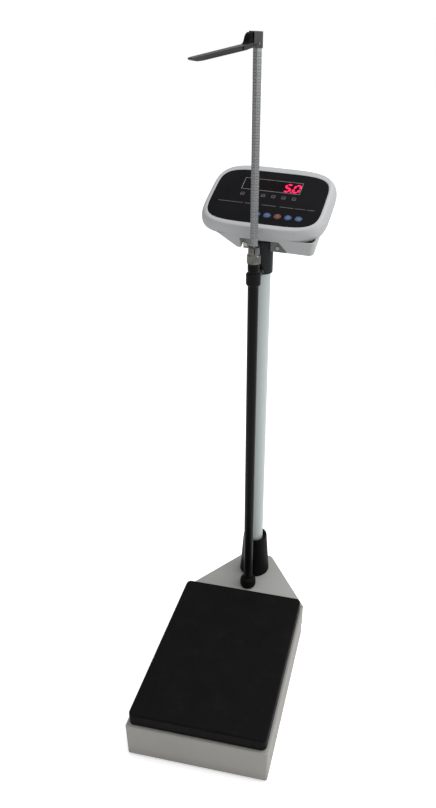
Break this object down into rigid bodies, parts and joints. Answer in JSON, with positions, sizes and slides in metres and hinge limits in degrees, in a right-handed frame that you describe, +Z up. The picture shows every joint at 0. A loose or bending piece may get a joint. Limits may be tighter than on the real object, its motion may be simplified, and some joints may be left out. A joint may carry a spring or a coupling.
{
  "type": "electronic column scale with height rod",
  "caption": "Column weighing scale: low tray base with a rubber-topped platform, tilting digital indicator on a pillar, and a telescopic height rod with a folding head lever.",
  "frame": {"origin": "centre of the platform's footprint, on the floor plane that the four feet stand on", "axes": "X to the right seen from the front, Y from the front edge to the column, Z up the column"},
  "size_m": [0.3, 0.645, 1.341],
  "materials": {
    "frame_steel": "semi-gloss black paint",
    "cover_steel": "satin pale grey powder coat",
    "pillar_steel": "satin grey coating",
    "rod_steel": "satin black coating",
    "bracket_steel": "satin grey paint",
    "zinc_steel": "zinc plated",
    "cell_aluminium": "machined",
    "ruler_aluminium": "satin, printed with graduations",
    "collet_chrome": "bright chrome",
    "foot_rubber": "dull black",
    "mat_rubber": "dull black, fine ribs",
    "black_plastic": "satin black",
    "housing_plastic": "satin warm white",
    "overlay_plastic": "black, slightly glossy",
    "window_plastic": "dark red tint",
    "module_plastic": "dark grey",
    "lamp_plastic": "clear red",
    "board_laminate": "green solder mask",
    "blue_key": "blue",
    "orange_key": "orange-red",
    "cable_sheath": "grey sheath"
  },
  "bodies": {
    "base": {"base_frame": "frame_steel", "column_pedestal": "frame_steel", "tray": "cover_steel", "rear_extension": "cover_steel", "foot_lock_nuts": "zinc_steel", "load_cell": "cell_aluminium", "cell_base_spacer": "zinc_steel", "base_bolts": "zinc_steel", "overload_stops": "zinc_steel", "pillar_boot": "black_plastic", "pillar_flange": "pillar_steel", "pillar_tube": "pillar_steel", "neck_sleeve": "black_plastic", "signal_cable": "cable_sheath", "cable_connector": "black_plastic", "rod_foot_plug": "black_plastic", "rod_outer_tube": "rod_steel", "rod_clamp": "rod_steel", "clamp_arm": "rod_steel", "clamp_screws": "zinc_steel", "collet_chuck": "collet_chrome"},
    "platform": {"spider_frame": "frame_steel", "cell_top_bolts": "zinc_steel", "platform_pan": "frame_steel", "platform_mat": "mat_rubber"},
    "foot_fl": {"foot_pad_fl": "foot_rubber", "foot_stud_fl": "zinc_steel"},
    "foot_fr": {"foot_pad_fr": "foot_rubber", "foot_stud_fr": "zinc_steel"},
    "foot_rl": {"foot_pad_rl": "foot_rubber", "foot_stud_rl": "zinc_steel"},
    "foot_rr": {"foot_pad_rr": "foot_rubber", "foot_stud_rr": "zinc_steel"},
    "collet_nut": {"lock_nut": "collet_chrome"},
    "ruler_guide": {"guide_bush": "black_plastic"},
    "ruler": {"ruler_tube": "ruler_aluminium", "ruler_slider": "black_plastic", "head_cap": "black_plastic", "cap_screw": "zinc_steel", "lever_pin": "rod_steel"},
    "lever": {"measuring_lever": "black_plastic"},
    "bracket": {"head_bracket": "bracket_steel", "bracket_screws": "zinc_steel", "tilt_bolts": "zinc_steel"},
    "indicator": {"front_shell": "housing_plastic", "rear_shell": "housing_plastic", "panel_overlay": "overlay_plastic", "display_window": "window_plastic", "led_display": "module_plastic", "status_lamps": "lamp_plastic", "circuit_board": "board_laminate", "battery": "module_plastic", "battery_cover": "housing_plastic", "charging_socket": "black_plastic", "case_screws": "zinc_steel"},
    "button_1": {"key_1": "blue_key"},
    "button_2": {"key_2": "blue_key"},
    "button_3": {"key_3": "orange_key"},
    "button_4": {"key_4": "blue_key"},
    "button_5": {"key_5": "blue_key"}
  },
  "joints": [
    {"name": "platform_travel", "type": "slide", "parent": "base", "child": "platform", "axis": [0, 0, 1], "range_m": [-0.0005, 0], "stiffness_N_per_m": 200000, "springref_m": 0.0006},
    {"name": "foot_fl_turn", "type": "hinge", "parent": "base", "child": "foot_fl", "pos_m": [-0.118, -0.1725, 0.02], "axis": [0, 0, 1], "continuous": true},
    {"name": "foot_fr_turn", "type": "hinge", "parent": "base", "child": "foot_fr", "pos_m": [0.118, -0.1725, 0.02], "axis": [0, 0, 1], "continuous": true},
    {"name": "foot_rl_turn", "type": "hinge", "parent": "base", "child": "foot_rl", "pos_m": [-0.118, 0.1725, 0.02], "axis": [0, 0, 1], "continuous": true},
    {"name": "foot_rr_turn", "type": "hinge", "parent": "base", "child": "foot_rr", "pos_m": [0.118, 0.1725, 0.02], "axis": [0, 0, 1], "continuous": true},
    {"name": "collet_nut_turn", "type": "hinge", "parent": "base", "child": "collet_nut", "pos_m": [-0.0015, 0.244, 0.954], "axis": [0, 0, 1], "range_deg": [-120, 0]},
    {"name": "ruler_swivel", "type": "hinge", "parent": "base", "child": "ruler_guide", "pos_m": [-0.0015, 0.244, 0.95], "axis": [0, 0, 1], "range_deg": [-60, 120]},
    {"name": "ruler_slide", "type": "slide", "parent": "ruler_guide", "child": "ruler", "axis": [0, 0, 1], "range_m": [-0.325, 0.45]},
    {"name": "lever_fold", "type": "hinge", "parent": "ruler", "child": "lever", "pos_m": [-0.00675, 0.23549, 1.321], "axis": [0.8508, -0.5255, 0], "range_deg": [-8.5, 77.5]},
    {"name": "indicator_swivel", "type": "hinge", "parent": "base", "child": "bracket", "pos_m": [0, 0.3094, 0.97], "axis": [0, 0, 1], "range_deg": [-22, 31]},
    {"name": "indicator_tilt", "type": "hinge", "parent": "bracket", "child": "indicator", "pos_m": [0.0016, 0.32926, 0.99659], "axis": [0.9968, -0.0802, 0], "range_deg": [-12, 10]},
    {"name": "button_1_press", "type": "slide", "parent": "indicator", "child": "button_1", "axis": [0.0358, 0.4448, -0.8949], "range_m": [0, 0.001], "stiffness_N_per_m": 900, "springref_m": -0.0008},
    {"name": "button_2_press", "type": "slide", "parent": "indicator", "child": "button_2", "axis": [0.0358, 0.4448, -0.8949], "range_m": [0, 0.001], "stiffness_N_per_m": 900, "springref_m": -0.0008},
    {"name": "button_3_press", "type": "slide", "parent": "indicator", "child": "button_3", "axis": [0.0358, 0.4448, -0.8949], "range_m": [0, 0.001], "stiffness_N_per_m": 900, "springref_m": -0.0008},
    {"name": "button_4_press", "type": "slide", "parent": "indicator", "child": "button_4", "axis": [0.0358, 0.4448, -0.8949], "range_m": [0, 0.001], "stiffness_N_per_m": 900, "springref_m": -0.0008},
    {"name": "button_5_press", "type": "slide", "parent": "indicator", "child": "button_5", "axis": [0.0358, 0.4448, -0.8949], "range_m": [0, 0.001], "stiffness_N_per_m": 900, "springref_m": -0.0008}
  ]
}
